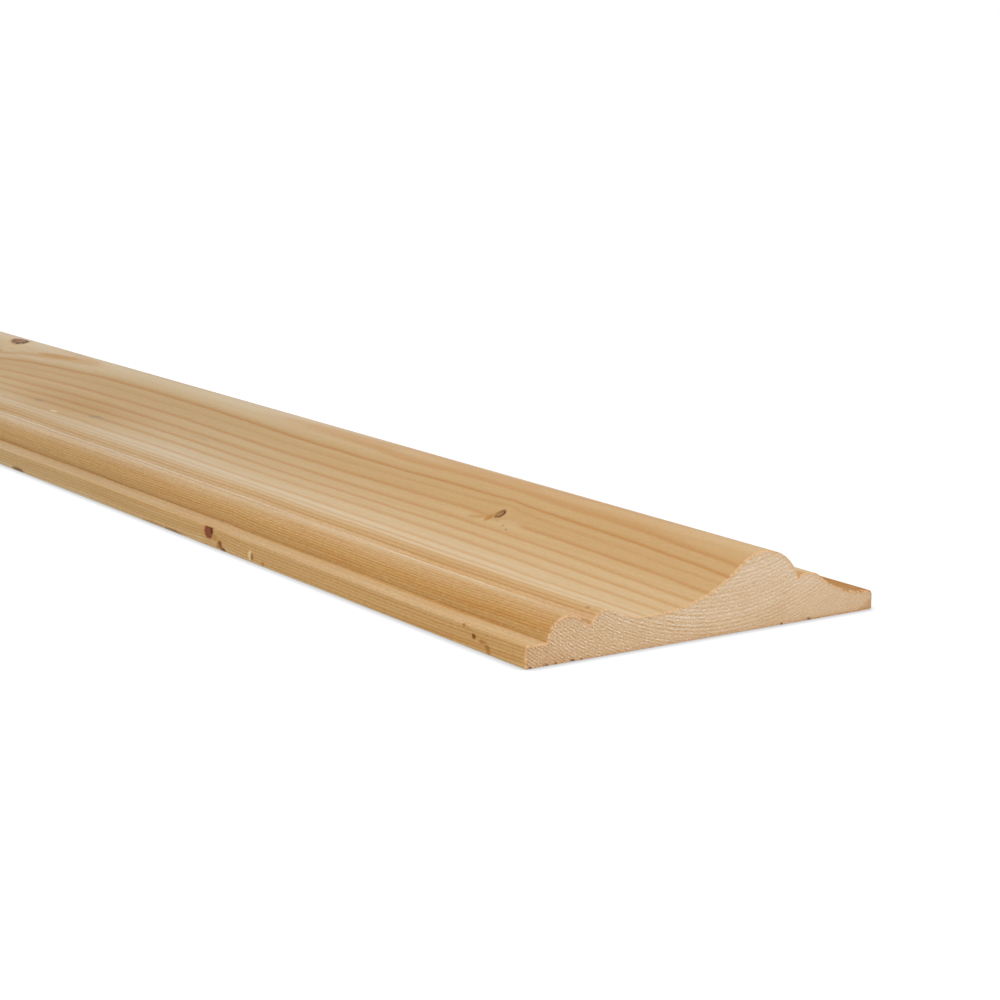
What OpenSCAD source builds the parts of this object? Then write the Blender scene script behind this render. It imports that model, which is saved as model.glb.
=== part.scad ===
// Decorative softwood moulding: one planed length of wood with a flat back.
// Its section is drawn in millimetres and runs unchanged along X, centred on the origin.
// Y goes from the fillet edge to the lip edge and Z up from the back.

/* [Board] */
// Length of the piece
length = 2400; // [600:100:5400]
// Width across the flat back
width = 120; // [112:1:180]

/* [Fillet and ovolo] */
// Width of the flat fillet along the near edge
fillet_w = 7; // [5:0.5:9]
// Height of the fillet above the back
fillet_h = 6.3; // [5:0.1:8]
// Height of the ovolo's top above the back
ovolo_h = 12.8; // [11:0.1:15]
// Radius of the ovolo
ovolo_r = 6.8; // [5.5:0.1:8]
// Angle by which the ovolo's arc runs on past its top
ovolo_past_top = 50; // [35:1:60]

/* [Quirk and bead] */
// Gap between the ovolo's round and the bead's round
quirk_w = 0.4; // [0.2:0.1:2]
// Depth of the quirk below the bead's top
quirk_d = 3.6; // [2.5:0.1:4.5]
// Height of the bead's top above the back
bead_h = 12.8; // [11.5:0.1:15]
// Radius of the bead on the ovolo's side
bead_r = 5; // [4:0.1:6]
// Radius of the bead on the scoop's side
bead_back_r = 7.3; // [5.5:0.1:9]

/* [Scoop] */
// Wood left under the scoop's level floor
scoop_h = 9.2; // [7:0.1:10.5]
// Distance from the bead's top to the level floor
scoop_lead = 13; // [10:0.5:16]
// Width of the level floor
scoop_flat = 5; // [2:0.5:10]

/* [Crest] */
// Height of the crest above the back, which is the full thickness
crest_h = 22; // [19:0.5:30]
// Radius of the crest
crest_r = 13; // [11:0.5:15]
// Distance of the crest's top from the lip edge
crest_in = 40; // [38:0.5:42]

/* [Torus and cove] */
// Height of the small torus above the back
torus_h = 13.8; // [12:0.1:15]
// Radius of the torus
torus_r = 7.4; // [6.5:0.1:8.2]
// Distance of the torus's top from the lip edge
torus_in = 24; // [22:0.5:26]
// Height of the thin lip at the far edge
lip_h = 5.8; // [4:0.1:7]
// Width of the level lip
lip_w = 2; // [1.6:0.1:4]

/* [Arrises] */
// Radius of the eased arrises at the back and the fillet
arris_r = 0.5; // [0.2:0.1:1]
// Radius of the eased arris on the lip
lip_arris_r = 1.5; // [0.5:0.1:1.5]

/* [Hidden] */
$fn = 180;

// Height of the slab that lies under the whole section
slab_h = lip_h / 2;
// Depth by which one outline runs into the next, so that the two cross and don't just touch
lap = 0.002;

// Centres of the four rounds, each hung from the height of its top
ovolo_c = [fillet_w + ovolo_r, ovolo_h - ovolo_r];
bead_y = ovolo_c[0] + ovolo_r + quirk_w + bead_r;
bead_c = [bead_y, bead_h - bead_r];
bead_back_c = [bead_y, bead_h - bead_back_r];
crest_c = [width - crest_in, crest_h - crest_r];
torus_c = [width - torus_in, torus_h - torus_r];

// Where the ovolo's arc ends and where the bead's arc leaves the quirk
ovolo_end = ovolo_c + (ovolo_r - lap) * [sin(ovolo_past_top), cos(ovolo_past_top)];
quirk = [bead_y - sqrt(pow(bead_r - lap, 2) - pow(bead_r - quirk_d, 2)), bead_h - quirk_d];

// The level floor of the scoop and the point where the cove runs out into the lip
floor_near = [bead_y + scoop_lead, scoop_h];
floor_far = [floor_near[0] + scoop_flat, scoop_h];
lip_near = [width - lip_w, lip_h];

// Radius of the hollow that starts level at a foot and runs smoothly into a round
function hollow_r(foot, c, r) =
    (pow(foot[0] - c[0], 2) + pow(foot[1] - c[1], 2) - r * r) / (2 * (r + c[1] - foot[1]));

// Point where that hollow touches the round
function touch(foot, c, r) =
    let (top = [foot[0], foot[1] + hollow_r(foot, c, r)])
    c + r * (top - c) / norm(top - c);

// One stretch of the section run out along the whole length
module along() {
    rotate([90, 0, 90]) linear_extrude(length) children();
}

// A round, drawn whole: its lower part lies in the wood or is cut off at the back
module rounded(c, r) {
    along() translate(c) circle(r = r);
}

// Wood between a foot and a round, with the hollow cut out of its top
module hollow(foot, c, round_r) {
    r = round_r - lap;
    big_r = hollow_r(foot, c, r);
    difference() {
        along() polygon([[foot[0], 0], foot, touch(foot, c, r), c, [c[0], 0]]);
        rounded([foot[0], foot[1] + big_r], big_r);
    }
}

// The far half of the bead, whose radius differs from the near half's
module bead_back() {
    intersection() {
        rounded(bead_back_c, bead_back_r);
        along() translate([bead_y, 0]) square([bead_back_r, bead_h + bead_r]);
    }
}

// What easing takes off a square corner; inward gives the two directions into the wood
module corner_waste(corner, inward, r) {
    difference() {
        along() translate(corner - [r, r]) square(2 * r);
        rounded(corner + r * inward, r);
    }
}

// The plain wood from edge to edge: a low slab that rises to the quirk, under the scoop's
// floor, between the crest and the torus, and at the lip
module core() {
    along() polygon([
        [0, 0], [0, fillet_h], [ovolo_c[0], fillet_h], ovolo_end, quirk,
        [bead_y, quirk[1]], [bead_y, slab_h],
        [floor_near[0], slab_h], floor_near, floor_far, [floor_far[0], slab_h],
        [crest_c[0], slab_h], crest_c, torus_c, [torus_c[0], slab_h],
        [lip_near[0], slab_h], lip_near, [width, lip_h], [width, 0]
    ]);
}

// The wood within its back and its two edges, before the arrises are eased
module planed() {
    intersection() {
        union() {
            core();
            rounded(ovolo_c, ovolo_r);
            rounded(bead_c, bead_r);
            bead_back();
            rounded(crest_c, crest_r);
            rounded(torus_c, torus_r);
            hollow(floor_near, bead_back_c, bead_back_r);
            hollow(floor_far, crest_c, crest_r);
            hollow(lip_near, torus_c, torus_r);
        }
        along() square([width, crest_h + crest_r]);
    }
}

module moulding() {
    color([0.82, 0.65, 0.42])
        translate([-length / 2, -width / 2, 0])
            difference() {
                planed();
                corner_waste([0, 0], [1, 1], arris_r);
                corner_waste([0, fillet_h], [1, -1], arris_r);
                corner_waste([width, 0], [-1, 1], arris_r);
                corner_waste([width, lip_h], [-1, -1], lip_arris_r);
            }
}

moulding();
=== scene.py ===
import math

import bpy
import numpy as np
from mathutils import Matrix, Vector


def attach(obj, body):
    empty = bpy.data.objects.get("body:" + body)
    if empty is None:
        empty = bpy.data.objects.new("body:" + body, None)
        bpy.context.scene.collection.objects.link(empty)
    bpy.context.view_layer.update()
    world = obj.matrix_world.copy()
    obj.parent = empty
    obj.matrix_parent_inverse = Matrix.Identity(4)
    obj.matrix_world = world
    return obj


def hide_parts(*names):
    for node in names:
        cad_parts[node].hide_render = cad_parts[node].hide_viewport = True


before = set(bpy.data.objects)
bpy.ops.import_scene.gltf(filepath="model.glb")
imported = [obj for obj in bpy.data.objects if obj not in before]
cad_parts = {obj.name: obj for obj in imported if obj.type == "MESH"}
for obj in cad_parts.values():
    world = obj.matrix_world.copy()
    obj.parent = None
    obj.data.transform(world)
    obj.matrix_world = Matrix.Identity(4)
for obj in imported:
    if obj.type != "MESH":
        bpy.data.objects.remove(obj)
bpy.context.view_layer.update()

scene = bpy.context.scene
mm = 0.001


# ------------------------------------------------------------------ the camera
# A long lens, set low beyond the sawn end on the fillet's side, looking back
# along the length.

camera_data = bpy.data.cameras.new("camera")
camera_data.sensor_fit = "HORIZONTAL"
camera_data.sensor_width = 36.0
camera_data.lens = 91.85
camera_data.clip_start = 0.05
camera_data.clip_end = 60.0
camera = bpy.data.objects.new("camera", camera_data)
camera.location = (1.73314, -0.42214, 0.17605)
camera.rotation_mode = "QUATERNION"
looking = Vector((-0.81638, 0.54224, -0.19874))
camera.rotation_quaternion = looking.to_track_quat("-Z", "Y")
scene.collection.objects.link(camera)
scene.camera = camera


# ---------------------------------------------------------------- the moulding
# One length of softwood, planed to its section in one pass through a moulder
# and cross-cut at both ends, left bare. It is traced here as the cutters leave
# it, point by point round the section, and then drawn out to its length.

length = 2400.0
width = 120.0
fillet_w = 7.0
fillet_h = 6.3
ovolo_h = 12.8
ovolo_r = 6.8
ovolo_past_top = 50.0
quirk_w = 0.4
quirk_d = 3.6
bead_h = 12.8
bead_r = 5.0
bead_back_r = 7.3
scoop_h = 9.2
scoop_lead = 13.0
scoop_flat = 5.0
crest_h = 22.0
crest_r = 13.0
crest_in = 40.0
torus_h = 13.8
torus_r = 7.4
torus_in = 24.0
lip_h = 5.8
lip_w = 2.0
arris_r = 0.5
lip_arris_r = 1.5
end_ease = 0.4

ovolo_c = (fillet_w + ovolo_r, ovolo_h - ovolo_r)
past = math.radians(ovolo_past_top)
ovolo_end = (
    ovolo_c[0] + ovolo_r * math.sin(past),
    ovolo_c[1] + ovolo_r * math.cos(past),
)
bead_y = ovolo_c[0] + ovolo_r + quirk_w + bead_r
bead_c = (bead_y, bead_h - bead_r)
bead_back_c = (bead_y, bead_h - bead_back_r)
quirk_z = bead_h - quirk_d
quirk = (bead_y - math.sqrt(bead_r**2 - (quirk_z - bead_c[1]) ** 2), quirk_z)
crest_c = (width - crest_in, crest_h - crest_r)
torus_c = (width - torus_in, torus_h - torus_r)
floor_near = (bead_y + scoop_lead, scoop_h)
floor_far = (floor_near[0] + scoop_flat, scoop_h)
lip_near = (width - lip_w, lip_h)


def hollow_centre(foot, round_c, round_r):
    """Centre of a hollow that is level at its foot and touches a round."""
    reach = foot[0] - round_c[0]
    rise = foot[1] - round_c[1]
    radius = (reach**2 + rise**2 - round_r**2) / (2 * (round_r - rise))
    return (foot[0], foot[1] + radius)


def touching(round_c, round_r, hollow_c):
    """Where a round meets a hollow, on the line through their centres."""
    along = (hollow_c[0] - round_c[0], hollow_c[1] - round_c[1])
    gap = math.hypot(*along)
    return (round_c[0] + round_r * along[0] / gap, round_c[1] + round_r * along[1] / gap)


def crossing(left_c, left_r, right_c, right_r):
    """The upper point where two rounds cross."""
    across = (right_c[0] - left_c[0], right_c[1] - left_c[1])
    gap = math.hypot(*across)
    along = (gap**2 + left_r**2 - right_r**2) / (2 * gap)
    off = math.sqrt(left_r**2 - along**2)
    unit = (across[0] / gap, across[1] / gap)
    return (
        left_c[0] + unit[0] * along - unit[1] * off,
        left_c[1] + unit[1] * along + unit[0] * off,
    )


bead_hollow_c = hollow_centre(floor_near, bead_back_c, bead_back_r)
scoop_c = hollow_centre(floor_far, crest_c, crest_r)
cove_c = hollow_centre(lip_near, torus_c, torus_r)
front = length / 2 - end_ease
rear = -front
pen = [0.0, arris_r]


def in_row(y, z, x=front):
    """A point of the section, in the row's own frame, in metres."""
    return (x * mm, (y - width / 2) * mm, z * mm)


def straight_to(y, z, steps=1):
    """Draws the traced line on to a point."""
    move = (0, (y - pen[0]) / steps * mm, (z - pen[1]) / steps * mm)
    for _ in range(steps):
        bpy.ops.mesh.extrude_region_move(TRANSFORM_OT_translate={"value": move})
    pen[:] = [y, z]


def round_to(y, z, centre, step=0.55):
    """Spins the traced line round a centre, on to a point."""
    begin = math.atan2(pen[1] - centre[1], pen[0] - centre[0])
    turn = math.atan2(z - centre[1], y - centre[0]) - begin
    turn = (turn + math.pi) % (2 * math.pi) - math.pi
    radius = math.hypot(y - centre[0], z - centre[1])
    steps = max(3, math.ceil(abs(turn) * radius / step))
    bpy.ops.mesh.spin(steps=steps, angle=-turn, center=in_row(*centre), axis=(1, 0, 0))
    pen[:] = [y, z]


bpy.ops.object.select_all(action="DESELECT")
bpy.ops.mesh.primitive_plane_add(size=mm, location=in_row(*pen))
moulding = bpy.context.object
moulding.name = "planed_moulding"
moulding.data.name = "planed_moulding"
bpy.ops.object.transform_apply(location=True, rotation=True, scale=True)
bpy.ops.object.mode_set(mode="EDIT")
bpy.ops.mesh.select_mode(type="VERT")
bpy.ops.mesh.select_all(action="SELECT")
bpy.ops.mesh.merge(type="CENTER")

straight_to(0, fillet_h - arris_r, steps=6)
round_to(arris_r, fillet_h, (arris_r, fillet_h - arris_r), step=0.2)
fillet_in = ovolo_c[0] - math.sqrt(ovolo_r**2 - (fillet_h - ovolo_c[1]) ** 2)
straight_to(fillet_in, fillet_h, steps=6)
round_to(*ovolo_end, ovolo_c)
straight_to(*quirk, steps=3)
round_to(bead_y, bead_h, bead_c)
round_to(*touching(bead_back_c, bead_back_r, bead_hollow_c), bead_back_c)
round_to(*floor_near, bead_hollow_c)
straight_to(*floor_far, steps=4)
round_to(*touching(crest_c, crest_r, scoop_c), scoop_c, step=0.9)
round_to(*crossing(crest_c, crest_r, torus_c, torus_r), crest_c)
round_to(*touching(torus_c, torus_r, cove_c), torus_c)
round_to(*lip_near, cove_c, step=0.9)
straight_to(width - lip_arris_r, lip_h)
round_to(width, lip_h - lip_arris_r, (width - lip_arris_r, lip_h - lip_arris_r), step=0.3)
straight_to(width, arris_r, steps=4)
round_to(width - arris_r, 0, (width - arris_r, arris_r), step=0.2)
straight_to(arris_r, 0, steps=24)
round_to(0, arris_r, (arris_r, arris_r), step=0.2)

# The traced line is closed and filled, and the section drawn out in lengths.
same_point = 0.02
bays = 96
bpy.ops.mesh.select_all(action="SELECT")
bpy.ops.mesh.remove_doubles(threshold=same_point * mm)
bpy.ops.mesh.edge_face_add()
bpy.ops.object.mode_set(mode="OBJECT")
section = moulding.data.polygons[0]
outline = np.array([moulding.data.vertices[v].co for v in section.vertices])[:, 1:]
bpy.ops.object.mode_set(mode="EDIT")
for _ in range(bays):
    bpy.ops.mesh.extrude_region_move(
        TRANSFORM_OT_translate={"value": ((rear - front) / bays * mm, 0, 0)}
    )
bpy.ops.mesh.select_all(action="SELECT")
bpy.ops.mesh.normals_make_consistent(inside=False)


def select_end(side):
    """Selects the one sawn face at that end, +1 in front or -1 at the rear."""
    bpy.ops.mesh.select_mode(type="FACE")
    bpy.ops.mesh.select_all(action="DESELECT")
    bpy.ops.object.mode_set(mode="OBJECT")
    for face in moulding.data.polygons:
        outward = face.normal.x * side > 0.9
        face.select = outward and face.center.x * side > 0.999 * front * mm
    bpy.ops.object.mode_set(mode="EDIT")


# Both sawn ends have their sharp edge taken off by hand, in two narrow facets.
facets = [(0.35, 0.65), (0.65, 0.35)]  # parts of the easing, inward and outward
for side in (1, -1):
    select_end(side)
    for inward, outward in facets:
        bpy.ops.mesh.inset(
            thickness=end_ease * inward * mm,
            depth=end_ease * outward * mm,
            use_even_offset=True,
        )
bpy.ops.object.mode_set(mode="OBJECT")

# Small chips are knocked out of the near edge and of the visible end's bottom.
chips = [
    # back, across, up, half length, half width, half height
    (171.2, -0.35, 0.5, 2.3, 0.75, 1.1),
    (151.0, -0.45, 1.9, 1.5, 0.6, 1.2),
    (143.8, -0.3, 0.9, 0.8, 0.45, 0.6),
    (205.0, -0.3, 0.0, 7.0, 0.6, 0.55),
    (222.0, -0.3, 0.0, 6.0, 0.5, 0.45),
    (332.0, -0.35, 0.3, 5.0, 0.65, 0.8),
    (29.8, -0.4, 5.8, 0.8, 0.55, 0.4),
    (24.8, -0.45, 3.8, 0.8, 0.6, 0.5),
    (178.2, -0.35, 5.2, 0.5, 0.6, 1.0),
    (0.0, 1.3, 0.0, 0.8, 0.6, 0.5),
    (0.0, 6.5, 0.0, 0.7, 0.7, 0.45),
    (0.0, 9.6, 0.0, 0.7, 0.6, 0.4),
    (0.0, 15.0, 0.0, 0.8, 0.8, 0.5),
    (0.0, 17.8, 0.0, 0.6, 0.6, 0.4),
    (0.0, 29.0, 0.0, 0.6, 0.5, 0.35),
    (0.0, 86.5, 0.0, 0.7, 0.6, 0.45),
    (0.0, 96.3, 0.0, 0.7, 0.8, 0.45),
]
rng = np.random.default_rng(7)
least_bulge = 0.78
most_bulge = 1.15
bpy.ops.object.select_all(action="DESELECT")
lumps = []
for chip_back, chip_y, chip_z, half_x, half_y, half_z in chips:
    place = in_row(chip_y, chip_z, length / 2 - chip_back)
    bpy.ops.mesh.primitive_ico_sphere_add(subdivisions=2, radius=mm, location=place)
    lump = bpy.context.object
    lump.scale = (half_x, half_y, half_z)
    for corner in lump.data.vertices:
        corner.co *= rng.uniform(least_bulge, most_bulge)
    lumps.append(lump)
for lump in lumps:
    lump.select_set(True)
bpy.context.view_layer.objects.active = lumps[0]
bpy.ops.object.join()
cutter = bpy.context.object
bpy.ops.object.transform_apply(location=True, rotation=True, scale=True)
chipped = moulding.modifiers.new("chips", "BOOLEAN")
chipped.operation = "DIFFERENCE"
chipped.solver = "EXACT"
chipped.object = cutter
bpy.ops.object.select_all(action="DESELECT")
moulding.select_set(True)
bpy.context.view_layer.objects.active = moulding
bpy.ops.object.modifier_apply(modifier="chips")
bpy.data.objects.remove(cutter)
sharp_from = math.radians(25)
bpy.ops.object.shade_smooth_by_angle(angle=sharp_from)

# A flat plan of the faces: each half of the length is rolled out from the back's
# near edge round to it again, the plain back narrower, with the sawn ends beside.
margin = 0.01
rear_half_at = 0.52
plan_width = 0.47
strip_height = 0.86
ends_at = 0.885
back_share = 0.35
height_first = 100
near_edge = int(np.argmin(outline[:, 0] + height_first * outline[:, 1]))
outline = np.roll(outline, -near_edge, axis=0)
following = np.roll(outline, -1, axis=0)
onward = following - outline
on_back = np.maximum(outline[:, 1], following[:, 1]) < 0.01 * mm
lengths = np.hypot(onward[:, 0], onward[:, 1]) * np.where(on_back, back_share, 1.0)
passed = np.cumsum(lengths) - lengths
corners = np.array([corner.co for corner in moulding.data.vertices])
from_start = corners[:, None, 1:] - outline[None]
part = (from_start * onward).sum(axis=2) / (onward * onward).sum(axis=1)
part = np.clip(part, 0.0, 1.0)
gaps = np.linalg.norm(from_start - part[:, :, None] * onward, axis=2)
nearest = gaps.argmin(axis=1)
part = part[np.arange(len(corners)), nearest]
rolled = (passed[nearest] + part * lengths[nearest]) / lengths.sum()
plan = np.zeros((len(moulding.data.loops), 2))
for face in moulding.data.polygons:
    used = list(face.vertices)
    left = margin if face.center.x > 0 else rear_half_at
    near_end = abs(face.center.x) > (length / 2 - 1.0) * mm
    if near_end and abs(face.normal.x) > 0.2:
        aside = corners[used, 1] / (width * mm) + 0.5
        above = corners[used, 2] / (width * mm) * plan_width + ends_at
    else:
        aside = rolled[used]
        if np.ptp(aside) > 0.5:
            aside = np.where(aside < 0.5, aside + 1.0, aside)
        above = np.abs(corners[used, 0]) / (length / 2 * mm) * strip_height + margin
    plan[list(face.loop_indices)] = np.stack([aside * plan_width + left, above], axis=1)
while moulding.data.uv_layers:
    moulding.data.uv_layers.remove(moulding.data.uv_layers[0])
layer = moulding.data.uv_layers.new(name="OFBake")
layer.data.foreach_set("uv", plan.ravel())


# The wood is one solid of growth rings about a pith that ran above the board,
# so that the lines on the long faces and the arcs on the sawn ends agree.
wood = bpy.data.materials.new("bare_planed_softwood")
wood.use_nodes = True
wood.node_tree.nodes.clear()


class Wire:
    """A socket's value. Sums of wires and numbers add Math nodes."""

    def __init__(self, socket):
        self.socket = socket

    def math(self, operation, *others):
        return node("ShaderNodeMath", {"operation": operation}, dict(enumerate((self, *others))))

    def __add__(self, other):
        return self.math("ADD", other)

    __radd__ = __add__

    def __sub__(self, other):
        return self.math("SUBTRACT", other)

    def __rsub__(self, other):
        return node("ShaderNodeMath", {"operation": "SUBTRACT"}, {0: other, 1: self})

    def __mul__(self, other):
        return self.math("MULTIPLY", other)

    def __truediv__(self, other):
        return self.math("DIVIDE", other)

    def __pow__(self, other):
        return self.math("POWER", other)

    def __rpow__(self, other):
        return node("ShaderNodeMath", {"operation": "POWER"}, {0: other, 1: self})

    def __neg__(self):
        return self * -1.0


def node(kind, settings=None, sockets=None, out=0, material=wood):
    """Adds a node, sets it up, then gives its sockets their values or links."""
    made = material.node_tree.nodes.new(kind)
    for name, value in (settings or {}).items():
        if name == "curve":
            line = made.mapping.curves[0]
            while len(line.points) < len(value):
                line.points.new(0.5, 0.5)
            for point, (x, y) in zip(line.points, value):
                point.location = (x, y)
            made.mapping.update()
        else:
            setattr(made, name, value)
    for name, value in (sockets or {}).items():
        if isinstance(value, Wire):
            material.node_tree.links.new(value.socket, made.inputs[name])
        else:
            made.inputs[name].default_value = value
    return Wire(made.outputs[out]) if made.outputs else None


def steps_up(value, low, high):
    """0 below low, 1 above high, and a smooth step between."""
    settings = {"interpolation_type": "SMOOTHSTEP"}
    return node("ShaderNodeMapRange", settings, {"Value": value, "From Min": low, "From Max": high})


def hump(value, middle, spread):
    """1 at the middle, and a bell round it."""
    off = (value - middle) / spread
    return (-(off * off)).math("EXPONENT")


def clouds(x, y, z, detail=2.0, roughness=0.5):
    """Noise from 0 to 1 at a point given in its own sizes."""
    at = node("ShaderNodeCombineXYZ", None, {0: x, 1: y, 2: z})
    sockets = {"Vector": at, "Scale": 1.0, "Detail": detail, "Roughness": roughness}
    return node("ShaderNodeTexNoise", None, sockets)


def between(mask, first, second):
    """One colour at 0, the other at 1."""
    return node("ShaderNodeMix", {"data_type": "RGBA"}, {0: mask, 6: first, 7: second}, out=2)


def pair(first, second, operation):
    """Two colours worked together, such as multiplied."""
    settings = {"data_type": "RGBA", "blend_type": operation}
    return node("ShaderNodeMix", settings, {0: 1.0, 6: first, 7: second}, out=2)


def stained(red, green, blue, density, bright=1.0):
    """The colour of wood that holds so many times its own pigment."""
    channels = {0: red**density * bright, 1: green**density * bright, 2: blue**density * bright}
    return node("ShaderNodeCombineColor", None, channels)


def plotted(value, points):
    """Reads a value off a curve through points of real sizes."""
    first = points[0][0]
    span = points[-1][0] - first
    low = min(y for x, y in points)
    rise = max(y for x, y in points) - low
    curve = [((x - first) / span, (y - low) / rise) for x, y in points]
    at = (value - first) / span
    return node("ShaderNodeFloatCurve", {"curve": curve}, {"Value": at}) * rise + low


spot = node("ShaderNodeTexCoord", out="Object")
spot_x = node("ShaderNodeSeparateXYZ", None, {0: spot}, out=0)
spot_y = node("ShaderNodeSeparateXYZ", None, {0: spot}, out=1)
spot_z = node("ShaderNodeSeparateXYZ", None, {0: spot}, out=2)
back = length / 2 - spot_x * 1000.0
across = spot_y * 1000.0 + width / 2
up = spot_z * 1000.0

# The pith isn't straight: it wanders a few millimetres as it runs back.
mean_pith_y = 66.0
mean_pith_z = 85.0
pith_y = mean_pith_y + plotted(back, [
    (0, 0.4), (30, -1.3), (60, -2.4), (100, -2.8), (130, -2.8), (170, -2.1), (220, -1.4),
    (280, -1.5), (360, -2.5), (440, -2.4), (520, -1.8), (700, 0.5), (900, 2.0), (1150, -1.0),
    (1400, -2.6), (1650, -0.6), (1900, 1.8), (2150, 0.4), (2400, -1.8),
])
pith_z = mean_pith_z + plotted(back, [
    (0, -0.2), (30, 0.5), (60, 1.0), (100, 1.4), (130, 1.6), (170, 1.5), (220, 1.4),
    (280, 1.7), (360, 2.0), (440, 1.5), (520, 0.9), (700, 0.8), (900, -0.9), (1150, -1.6),
    (1400, 0.6), (1650, 1.8), (1900, 0.4), (2150, -1.5), (2400, -0.4),
])
off_y = across - pith_y
off_z = up - pith_z
radius = (off_y * off_y + off_z * off_z).math("SQRT")
radius = radius + (clouds(back / 60.0, across / 14.0, up / 14.0) - 0.5) * 0.4
radius = radius + (clouds(back / 16.0, across / 3.0, up / 3.0) - 0.5) * 0.22

# Over the crest the pith's own wander would open the ring that shows as a band.
radius = radius + steps_up(across, 67.0, 77.0) * plotted(back, [
    (0, 0), (50, -0.05), (100, -0.4), (150, -0.4), (190, -0.12), (225, 0.45), (300, 0.5),
    (400, 0.45), (435, 0.1), (470, 0), (900, 0), (1400, 0.3), (1900, -0.2), (2400, 0),
])

# Knots are the stubs of branches that grew out from the pith, so each runs
# straight out from it, and the rings bend round it.
ragged = (clouds(back / 1.6, across / 1.6, up / 1.6) - 0.5) * 0.7
knots = [
    # back, across, up, half length, half width, the rings' bend, twist, spread and reach
    (110.7, 65.7, 15.0, 1.75, 1.6, 0.5, 0.35, 4.0, 12.0),
    (180.0, 0.0, 4.6, 2.4, 1.2, 0.8, 0.0, 6.0, 10.0),
    (510.0, 77.6, 21.8, 6.5, 2.5, -3.2, 0.0, 20.0, 22.0),
    (870.0, 55.0, 11.0, 6.0, 5.0, 0.6, 0.3, 9.0, 20.0),
    (1330.0, 73.0, 20.0, 4.0, 3.5, 0.6, 0.3, 7.0, 16.0),
    (1790.0, 30.0, 11.5, 5.0, 4.0, 0.8, 0.25, 8.0, 18.0),
    (2210.0, 92.0, 13.5, 3.0, 2.5, 0.6, 0.3, 5.0, 12.0),
]
knot_tones = [
    # heart, rim, and wood around
    ((0.38, 0.20, 0.085, 1), (0.22, 0.075, 0.012, 1), (0.66, 0.43, 0.19, 1)),
    ((0.27, 0.07, 0.02, 1), (0.21, 0.055, 0.015, 1), (0.56, 0.29, 0.09, 1)),
    ((0.31, 0.16, 0.075, 1), (0.20, 0.095, 0.04, 1), (0.68, 0.46, 0.23, 1)),
    ((0.33, 0.15, 0.06, 1), (0.13, 0.05, 0.018, 1), (0.60, 0.34, 0.13, 1)),
    ((0.30, 0.14, 0.06, 1), (0.12, 0.045, 0.018, 1), (0.62, 0.38, 0.16, 1)),
    ((0.34, 0.14, 0.05, 1), (0.14, 0.05, 0.018, 1), (0.58, 0.32, 0.12, 1)),
    ((0.30, 0.15, 0.07, 1), (0.12, 0.05, 0.022, 1), (0.62, 0.38, 0.16, 1)),
]
stubs = []
for knot_back, knot_y, knot_z, half_x, half_w, bend, twist, spread, reach in knots:
    out_y = knot_y - mean_pith_y
    out_z = knot_z - mean_pith_z
    out_of_pith = math.hypot(out_y, out_z)
    out_y = out_y / out_of_pith
    out_z = out_z / out_of_pith
    side = (up - knot_z) * out_y - (across - knot_y) * out_z
    gone = back - knot_back
    far = ((gone / half_x) ** 2.0 + (side / half_w) ** 2.0).math("SQRT") + ragged
    if knot_y == 0.0:
        # On the near edge: a dead twig, overgrown before it reached the fillet's top.
        far = far + steps_up(across, 0.3, 0.8) * 4.0
    stubs.append((far, gone))
    bent = (-(gone.math("ABSOLUTE") / reach)).math("EXPONENT") * hump(side, 0.0, spread)
    radius = radius + bent * (side * twist + bend)

# Rings counted outward at measured radii: wide near the pith, narrow outside.
# Each year ends in a line of dark late wood, which builds up slowly, stops short,
# and is stronger in some years than in others.
ring = plotted(radius, [
    (56, 0), (62.8, 2), (66.4, 3), (68.8, 4), (70.5, 5), (72.6, 6), (74.8, 7), (76.7, 8),
    (78.4, 9), (80.5, 10), (81.8, 11), (84.2, 13), (87.4, 16), (93.4, 23), (100, 31),
    (108, 41), (116, 51),
])
vigour = plotted(ring, [
    (0, 0.9), (3, 0.9), (4, 1.0), (5, 0.42), (6, 1.0), (7, 0.85), (8, 0.9), (9, 0.95),
    (10, 1.05), (11, 0.9), (13, 0.9), (16, 0.95), (22, 0.9), (51, 1.0),
])
year = ring.math("ROUND")
builds_up = 0.21
dies_off = 0.11
before = (ring - year).math("MINIMUM", 0.0) / builds_up
after = (ring - year).math("MAXIMUM", 0.0) / dies_off
luck = {"noise_dimensions": "1D"}
luck = node("ShaderNodeTexWhiteNoise", luck, {"W": year + 0.37}, out="Value")
narrow = steps_up(ring, 14.0, 22.0)
luck = luck * (narrow * 0.7 + 0.3) - narrow * 0.35 + 0.85
late = (-(before * before + after * after)).math("EXPONENT") * vigour * luck
band = steps_up(radius, 62.5, 65.5) - steps_up(radius, 66.0, 67.0)

# Long fibres, seen as fine streaks along the length, and slower changes of tone.
fibre = clouds(back / 2.2, across / 0.45, up / 0.45, roughness=0.65)
grit = clouds(back / 1.1, across / 0.6, up / 0.6, roughness=0.6)
streak = clouds(back / 70.0, across / 1.3, up / 1.3)
drift = clouds(back / 150.0, across / 25.0, up / 25.0)

facing = node("ShaderNodeTexCoord", out="Normal")
facing_x = node("ShaderNodeSeparateXYZ", None, {0: facing}, out=0).math("ABSOLUTE")
facing_z = node("ShaderNodeSeparateXYZ", None, {0: facing}, out=2)
sawn = steps_up(facing_x, 0.93, 0.97)
# Faces that lie flat, used below for a painted sheen.
flat_face_painted_sheen = steps_up(facing_z, 0.92, 1.0)
nearest_end = back.math("MINIMUM", length - back)
eased = (1.0 - steps_up(nearest_end, end_ease * 0.9, end_ease * 2.2)) * (1.0 - sawn)
looking_in = {"samples": 4, "inside": True, "only_local": True}
sheltered = node("ShaderNodeAmbientOcclusion", looking_in, {"Distance": 1.6 * mm}, out="AO")
rim = 1.0 - steps_up(sheltered, 0.55, 0.95)

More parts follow.
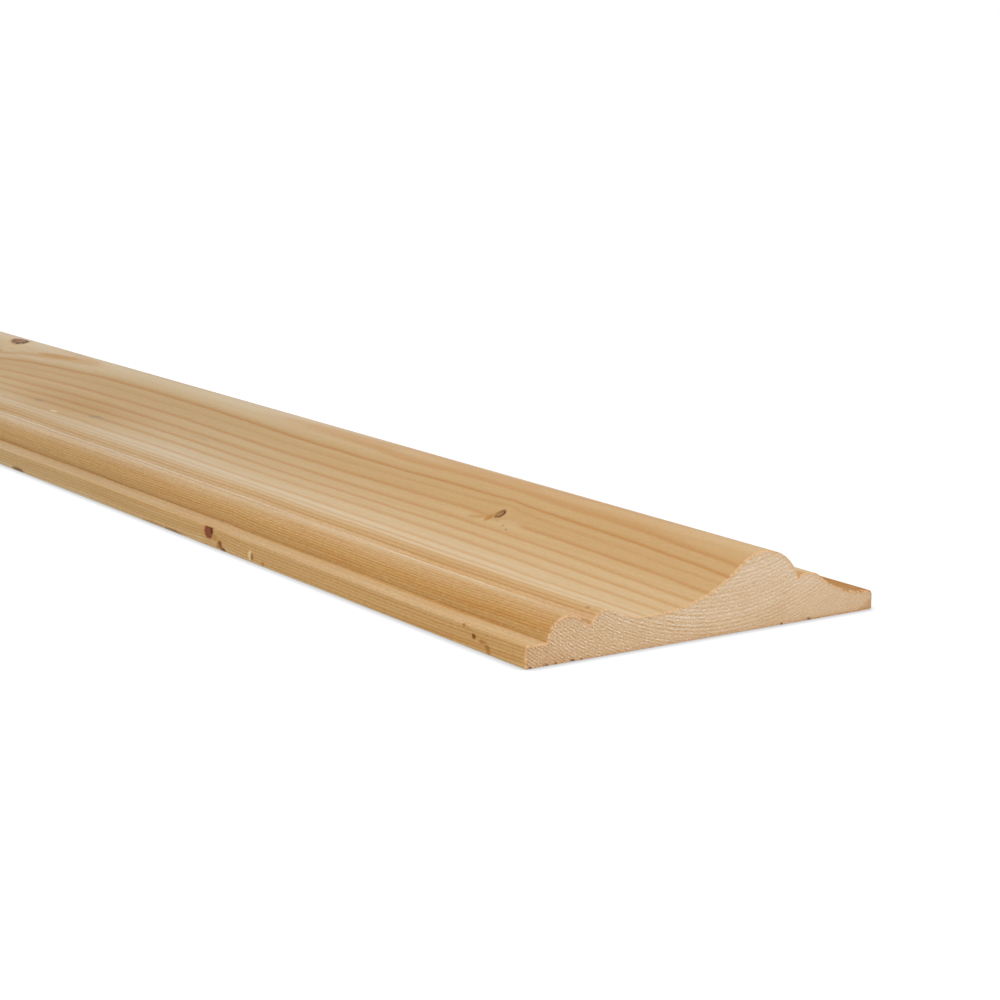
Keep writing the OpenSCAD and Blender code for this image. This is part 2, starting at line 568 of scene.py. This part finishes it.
# Planed faces: one pigment, its density measured outward from the pith. Some
# lengths of the board are duller.
planed_pigment = (0.69, 0.475, 0.25)
sawn_pigment = (0.69, 0.50, 0.32)
dull = plotted(back, [
    (0, 0), (80, 0.1), (220, 0.6), (360, 1), (540, 1), (760, 0.4), (1000, 0.7),
    (1300, 0.1), (1700, 0.8), (2050, 0.3), (2400, 0.6),
])
density = plotted(radius, [
    (56, 1.15), (64, 1.15), (66, 1.15), (67.2, 1.26), (69.2, 1.24), (71.2, 1.26), (73.4, 1.16),
    (77, 1.14), (80, 1.0), (81.8, 0.9), (83.5, 1.15), (85, 1.08), (86.4, 0.8), (87.2, 0.72),
    (88.0, 0.94), (89, 1.21), (91.4, 1.3), (93.4, 1.36), (96, 1.38), (97.6, 1.34), (98.8, 1.16),
    (100, 1.07), (102, 1.16), (103.2, 1.3), (104.5, 1.23), (105.8, 1.3), (107, 1.0), (116, 0.9),
])
density = density + dull * plotted(radius, [
    (56, -0.35), (67, -0.35), (69, -0.1), (72, -0.12), (76, -0.03), (79, -0.05), (82, -0.1),
    (85, -0.06), (87.5, -0.24), (89.3, -0.26), (91, -0.12), (97, -0.1), (99, 0.05), (101, 0.03),
    (103, -0.16), (116, -0.22),
])

# A smudged patch in the scoop is denser. The cove, most near the end, is darkened
# as painted shade; the quirk is darkened as painted shade and the bead's near side
# beside it is denser. Flat faces and the ovolo's shoulder by the quirk are paler as
# a painted sheen, and the crease by the fillet is paler as painted light.
smudged = hump(back, 400.0, 55.0) * hump(radius, 78.5, 5.0)
cove_painted_shade = steps_up(across, 97.0, 101.0) * steps_up(facing_z, 0.1, 0.4)
cove_painted_shade = cove_painted_shade * (1.0 - steps_up(back, 30.0, 110.0) * 0.75)
quirk_painted_shade_and_bead_side = hump(across, 20.2, 0.8) * 0.28 + hump(across, 22.7, 0.5) * 0.12
bead_foot_painted_light = hump(across, 21.8, 0.35)
ovolo_shoulder_painted_sheen = hump(across, 16.3, 1.4)
crease_painted_light = hump(across, 7.1, 0.35)
density = density + smudged * 0.35 + cove_painted_shade * 0.65 + quirk_painted_shade_and_bead_side - crease_painted_light * 0.05 - flat_face_painted_sheen * 0.12
density = density - ovolo_shoulder_painted_sheen * 0.17 + (streak - 0.5) * 0.25 + (drift - 0.5) * 0.15

# The fibres show more where the rings are narrow. The bead's foot, in the shade
# of the ovolo, is painted a little brighter, painted light that lifts that shade.
coarse = steps_up(radius, 81.0, 90.0)
density = density + (fibre - 0.5) * (coarse * 0.25 + 0.25)
rough_cut = (fibre - 0.5) * (coarse * 0.1 + 0.06) + (grit - 0.5) * (coarse * 0.3 + 0.08)
planed = stained(*planed_pigment, density, 1.0 - rough_cut + bead_foot_painted_light * 0.09)
white = (1, 1, 1, 1)
planed = pair(planed, between(dull, white, (0.86, 0.90, 0.98, 1)), "MULTIPLY")
toasted = plotted(radius, [
    (56, 0), (91, 0), (95, 1), (98, 1), (99, 0.1), (102, 0.1), (103.5, 1), (116, 1),
])
planed = pair(planed, between(toasted, white, (1, 0.99, 0.86, 1)), "MULTIPLY")
# The painted shade in the cove is also yellower.
planed = pair(planed, between(cove_painted_shade, white, (1, 1, 0.76, 1)), "MULTIPLY")

# On the rounds beside the near edge some rings are browner, and cut ends of
# fibres are painted as bright dots, a painted glint.
browner = steps_up(clouds(back / 60.0, radius / 0.8, 0.5), 0.45, 0.7) * coarse
planed = pair(planed, between(browner * 0.6, white, (0.93, 0.80, 0.62, 1)), "MULTIPLY")
painted_glint_dots = steps_up(clouds(back / 0.9, across / 0.5, up / 0.5, detail=1.0), 0.6, 0.7)
painted_glint_dots = painted_glint_dots * steps_up(clouds(back / 25.0, across / 4.0, up / 4.0), 0.35, 0.6)
painted_glint_dots = painted_glint_dots * steps_up(back, 120.0, 230.0) * hump(radius, 90.5, 2.6)
planed = between(painted_glint_dots * 0.6, planed, (0.84, 0.68, 0.40, 1))
planed = pair(planed, between(band * 0.4, white, (0.92, 0.80, 0.66, 1)), "MULTIPLY")
late_line = late * (coarse * 0.17 + 0.83)
planed = pair(planed, between(late_line, white, (0.88, 0.68, 0.48, 1)), "MULTIPLY")

# Sawn ends: paler, with the cut fibres standing up as rows of pale flecks that
# follow the rings, coarsest where the saw came in. The corner under the lip and
# the bottom edge before it are darker.
around = off_y.math("ARCTAN2", -off_z) * radius
fleck = clouds(radius / 0.32, around / 0.8, back / 3.0, roughness=0.6)
speck = clouds(across / 0.4, up / 0.4, back / 3.0, roughness=0.6)
torn = plotted(across, [
    (0, 1.3), (35, 1.1), (60, 0.85), (88, 0.6), (104, 0.5), (120, 0.5),
])
saw_ring = plotted(radius, [
    (56, 0), (80, 21), (84.2, 25), (87.4, 29), (93.4, 36), (100, 44), (116, 64),
])
wobble = clouds(across / 1.5, up / 1.5, back / 3) * 7.0
ridge = (saw_ring * (2.0 * math.pi) + wobble).math("SINE")
end_density = plotted(radius, [
    (56, 0.97), (78, 1.0), (82, 1.1), (90, 1.2), (96, 1.25), (103, 1.4), (116, 1.4),
])
in_corner = steps_up(radius, 96.6, 97.6) * steps_up(across, 80.0, 90.0)
along_bottom = (1.0 - steps_up(up, 0.25, 0.7)) * steps_up(across, 88.0, 97.0)
end_density = end_density + late * torn * 0.2 + rim * 0.25 + in_corner * 0.3
end_density = end_density + along_bottom * 0.9
uneven = steps_up(clouds(radius / 1.4, around / 1.6, back / 3, detail=1.0), 0.32, 0.68)
patches = clouds(across / 7.0, up / 7.0, back / 7.0)
end_density = end_density + ridge * torn * uneven * 0.4 + (speck - 0.5) * torn * 0.65
end_density = end_density + (patches - 0.5) * 0.3 - steps_up(across, 82.0, 98.0) * 0.1
end_density = end_density - steps_up(fleck, 0.52, 0.68) * torn * 0.45
end_tone = stained(*sawn_pigment, end_density, 1.0 - (speck - 0.5) * torn * 0.62)

# The eased edge round each end carries a painted highlight in patches.
patchy = steps_up(clouds(back / 1.5, across / 0.8, up / 0.8), 0.38, 0.58)
tone = between(sawn, planed, end_tone)
tone = between(eased * patchy * 0.85, tone, (0.80, 0.50, 0.29, 1))

# Knots: brown, darker at the rim, in a ring of resinous wood, with a crack at the
# side nearer the visible end.
for (far, gone), (heart, edge, around_it) in zip(stubs, knot_tones):
    tone = between((1.0 - steps_up(far, 1.1, 2.6)) * 0.5, tone, around_it)
    tone = between(1.0 - steps_up(far, 0.85, 1.15), tone, heart)
    tone = between(hump(far, 0.85, 0.3) * 0.85, tone, edge)
    cracked = hump(far, 0.95, 0.18) * steps_up(-gone, 0.4, 1.4)
    tone = between(cracked * 0.7, tone, (0.03, 0.012, 0.006, 1))

# Marks that the wood carries, as the photo shows them: stains, smudges, resin
# and the wood in the chips, whose dark colour is partly bruise and partly painted
# shade in the nicks.
marks = [
    # back, across, up, half length, half width, slope, how strong, colour
    (29.8, 0, 5.8, 0.9, 0.6, 0, 0.8, (0.44, 0.19, 0.04, 1)),
    (27.5, 0, 5.4, 2.4, 0.5, 0, 0.4, (0.50, 0.24, 0.07, 1)),
    (24.8, 0, 3.8, 1.1, 0.8, 0, 0.95, (0.25, 0.07, 0.004, 1)),
    (20.6, 0, 3.1, 2.0, 0.6, 0, 0.7, (0.40, 0.16, 0.03, 1)),
    (18.2, 0, 2.0, 1.4, 0.9, 0, 0.75, (0.36, 0.14, 0.03, 1)),
    (17.6, 0, 0.9, 1.2, 0.7, 0, 0.6, (0.40, 0.17, 0.04, 1)),
    (177.4, 0, 5.3, 0.8, 1.3, 0, 0.9, (0.08, 0.02, 0.006, 1)),
    (176.0, 0, 3.4, 2.2, 1.0, 0, 0.65, (0.48, 0.21, 0.05, 1)),
    (0.2, 1.3, 0.1, 1.0, 0.8, 0, 0.8, (0.20, 0.07, 0.02, 1)),
    (0.2, 6.5, 0.1, 0.8, 0.8, 0, 0.7, (0.28, 0.12, 0.04, 1)),
    (0.2, 9.6, 0.1, 0.8, 0.7, 0, 0.7, (0.28, 0.12, 0.04, 1)),
    (0.2, 15.0, 0.1, 0.8, 0.9, 0, 0.8, (0.22, 0.08, 0.025, 1)),
    (0.2, 17.8, 0.1, 0.8, 0.7, 0, 0.6, (0.30, 0.13, 0.04, 1)),
    (0.2, 86.5, 0.1, 0.8, 0.7, 0, 0.8, (0.20, 0.07, 0.02, 1)),
    (0.2, 96.3, 0.1, 0.8, 0.9, 0, 0.8, (0.20, 0.07, 0.02, 1)),
    (172.2, 0, 2.0, 1.5, 1.3, 0, 0.9, (0.22, 0.06, 0.006, 1)),
    (173.6, 0, 1.2, 1.4, 0.9, 0, 0.6, (0.42, 0.18, 0.045, 1)),
    (170.2, 0, 0.6, 2.2, 0.8, 0, 0.85, (0.20, 0.075, 0.02, 1)),
    (152.0, 0, 2.1, 1.5, 1.7, 0, 0.8, (0.82, 0.66, 0.35, 1)),
    (150.9, 0, 1.9, 1.0, 1.3, 0, 0.9, (0.34, 0.13, 0.02, 1)),
    (143.8, 0, 1.0, 1.0, 0.7, 0, 0.75, (0.44, 0.20, 0.06, 1)),
    (205.0, 0, 0.3, 7.5, 0.7, 0, 0.7, (0.22, 0.11, 0.05, 1)),
    (220.0, 0, 0.3, 8.5, 0.8, 0, 0.5, (0.38, 0.20, 0.07, 1)),
    (332.0, 0, 0.7, 6.0, 0.9, 0, 0.8, (0.20, 0.09, 0.035, 1)),
    (5.8, 24.0, 12.4, 1.1, 0.6, 0, 0.65, (0.40, 0.20, 0.08, 1)),
    (425.5, 49.2, 9.5, 4.5, 1.2, 0, 0.7, (0.34, 0.25, 0.16, 1)),
    (374.5, 50.5, 9.7, 4.5, 1.4, 0.1, 0.75, (0.34, 0.25, 0.16, 1)),
    (364.0, 50.5, 9.7, 6.0, 1.0, 0, 0.4, (0.40, 0.31, 0.20, 1)),
    (300.0, 58.2, 11.6, 7.0, 0.9, 0, 0.35, (0.46, 0.33, 0.20, 1)),
    (398.5, 43.8, 9.2, 3.4, 0.6, 0.05, 0.9, (0.86, 0.76, 0.52, 1)),
    (461.0, 75.0, 20.8, 24.0, 1.5, 0.1, 0.65, (0.50, 0.25, 0.07, 1)),
    (118.5, 62.2, 13.1, 5.0, 1.0, 0.2, 0.5, (0.52, 0.26, 0.06, 1)),
    (113.4, 63.4, 13.7, 1.4, 2.2, 0, 0.8, (0.48, 0.22, 0.04, 1)),
    (112.8, 65.4, 14.7, 2.0, 1.5, 0, 0.35, (0.56, 0.30, 0.09, 1)),
    (102.5, 63.2, 13.6, 7.0, 1.7, 0, 0.7, (0.66, 0.46, 0.23, 1)),
    (103.5, 61.8, 13.0, 0.5, 0.35, 0, 0.7, (0.26, 0.18, 0.10, 1)),
    (100.0, 60.6, 12.5, 0.7, 0.4, 0, 0.7, (0.28, 0.20, 0.12, 1)),
]
for mark_back, mark_y, mark_z, half_x, half_w, slope, strength, colour in marks:
    gone = back - mark_back
    aside = across - mark_y + gone * slope
    off = (gone / half_x) ** 2.0 + (aside * aside + (up - mark_z) ** 2.0) / half_w**2
    off = off.math("SQRT") + ragged
    tone = between((1.0 - steps_up(off, 0.55, 1.25)) * strength, tone, colour)

relief = late * 0.4 + fibre * 0.35 + sawn * (fleck + speck) * 0.8
relief = {"Strength": 0.5, "Distance": 0.12 * mm, "Height": relief}
grain = node("ShaderNodeBump", None, relief)
gloss = 0.5 - late * 0.06 + sawn * 0.3 + (fibre - 0.5) * 0.1
skin = node(
    "ShaderNodeBsdfPrincipled",
    None,
    {"Base Color": tone, "Roughness": gloss, "Specular IOR Level": 0.06, "Normal": grain},
)
node("ShaderNodeOutputMaterial", None, {"Surface": skin})
moulding.data.materials.clear()
moulding.data.materials.append(wood)

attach(moulding, "root")
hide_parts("moulding")


# ---------------------------------------------------------------- studio floor
# A white sweep that the piece lies on. It shows white to the camera and keeps
# the soft shadow that the piece casts on it; near the piece, ambient occlusion
# dims that white, a painted contact shadow.

floor_side = 16.0
gap_under = 0.05
paper_glow = 0.8
bpy.ops.object.select_all(action="DESELECT")
bpy.ops.mesh.primitive_plane_add(size=floor_side, location=(0, 0, -gap_under * mm))
sweep = bpy.context.object
sweep.name = "studio_floor"
bpy.ops.object.transform_apply(location=True, rotation=True, scale=True)
paper = bpy.data.materials.new("white_sweep")
paper.use_nodes = True
paper.node_tree.nodes.clear()
lit = node("ShaderNodeBsdfDiffuse", None, {"Color": (0.86, 0.87, 0.89, 1)}, material=paper)
# A painted contact shadow: ambient occlusion dims the white glow near the piece.
painted_contact_shadow = {"Distance": 4.2 * mm}
painted_contact_shadow = node("ShaderNodeAmbientOcclusion", {"samples": 8}, painted_contact_shadow, out="AO", material=paper)
glow_with_painted_shadow = {"Value": painted_contact_shadow, "From Min": 0.5, "From Max": 0.92, "To Min": 0.66, "To Max": 1.14}
glow_with_painted_shadow = node("ShaderNodeMapRange", None, glow_with_painted_shadow, material=paper)
glow = {"Color": (0.985, 0.99, 1, 1), "Strength": glow_with_painted_shadow}
glow = node("ShaderNodeEmission", None, glow, material=paper)
seen = node("ShaderNodeLightPath", out="Is Camera Ray", material=paper)
mirrored = node("ShaderNodeLightPath", out="Is Glossy Ray", material=paper)
share = node("ShaderNodeMath", {"operation": "MAXIMUM"}, {0: seen, 1: mirrored}, material=paper)
share = {0: share, 1: paper_glow}
share = node("ShaderNodeMath", {"operation": "MULTIPLY"}, share, material=paper)
face = node("ShaderNodeMixShader", None, {0: share, 1: lit, 2: glow}, material=paper)
node("ShaderNodeOutputMaterial", None, {"Surface": face}, material=paper)
sweep.data.materials.append(paper)


# ------------------------------------------------------------------ the lights
# Soft studio light: one big soft box overhead, another that faces the visible
# sawn end, and pale walls all round.

def soft_box(name, size, power, location, aim):
    """A square soft box at a place, turned to a point."""
    data = bpy.data.lights.new(name, "AREA")
    data.shape = "SQUARE"
    data.size = size
    data.energy = power
    lamp = bpy.data.objects.new(name, data)
    lamp.location = location
    lamp.rotation_mode = "QUATERNION"
    lamp.rotation_quaternion = (Vector(aim) - lamp.location).to_track_quat("-Z", "Y")
    scene.collection.objects.link(lamp)


soft_box("top_box", 1.3, 5.2, (1.2, -0.3, 1.25), (1.1, 0, 0))
soft_box("end_box", 1.6, 15.0, (3.8, -0.2, 0.9), (1.2, 0, 0))

walls = bpy.data.worlds.new("pale_walls")
walls.use_nodes = True
walls.node_tree.nodes.clear()
lighting = {"Color": (0.98, 0.99, 1, 1), "Strength": 0.70}
lighting = node("ShaderNodeBackground", None, lighting, material=walls)
backdrop = {"Color": (1, 1, 1, 1), "Strength": 1.0}
backdrop = node("ShaderNodeBackground", None, backdrop, material=walls)
seen = node("ShaderNodeLightPath", out="Is Camera Ray", material=walls)
mirrored = node("ShaderNodeLightPath", out="Is Glossy Ray", material=walls)
toward = node("ShaderNodeTexCoord", out="Generated", material=walls)
height = node("ShaderNodeSeparateXYZ", None, {0: toward}, out=2, material=walls)
low_wall = {"Value": height, "From Min": 0.25, "From Max": 0.6, "To Min": 1.0, "To Max": 0.0}
low_wall = node("ShaderNodeMapRange", None, low_wall, material=walls)
mirrored = {0: mirrored, 1: low_wall}
mirrored = node("ShaderNodeMath", {"operation": "MULTIPLY"}, mirrored, material=walls)
share = node("ShaderNodeMath", {"operation": "MAXIMUM"}, {0: seen, 1: mirrored}, material=walls)
sky = node("ShaderNodeMixShader", None, {0: share, 1: lighting, 2: backdrop}, material=walls)
node("ShaderNodeOutputWorld", None, {"Surface": sky}, material=walls)
scene.world = walls
scene.view_settings.view_transform = "Standard"
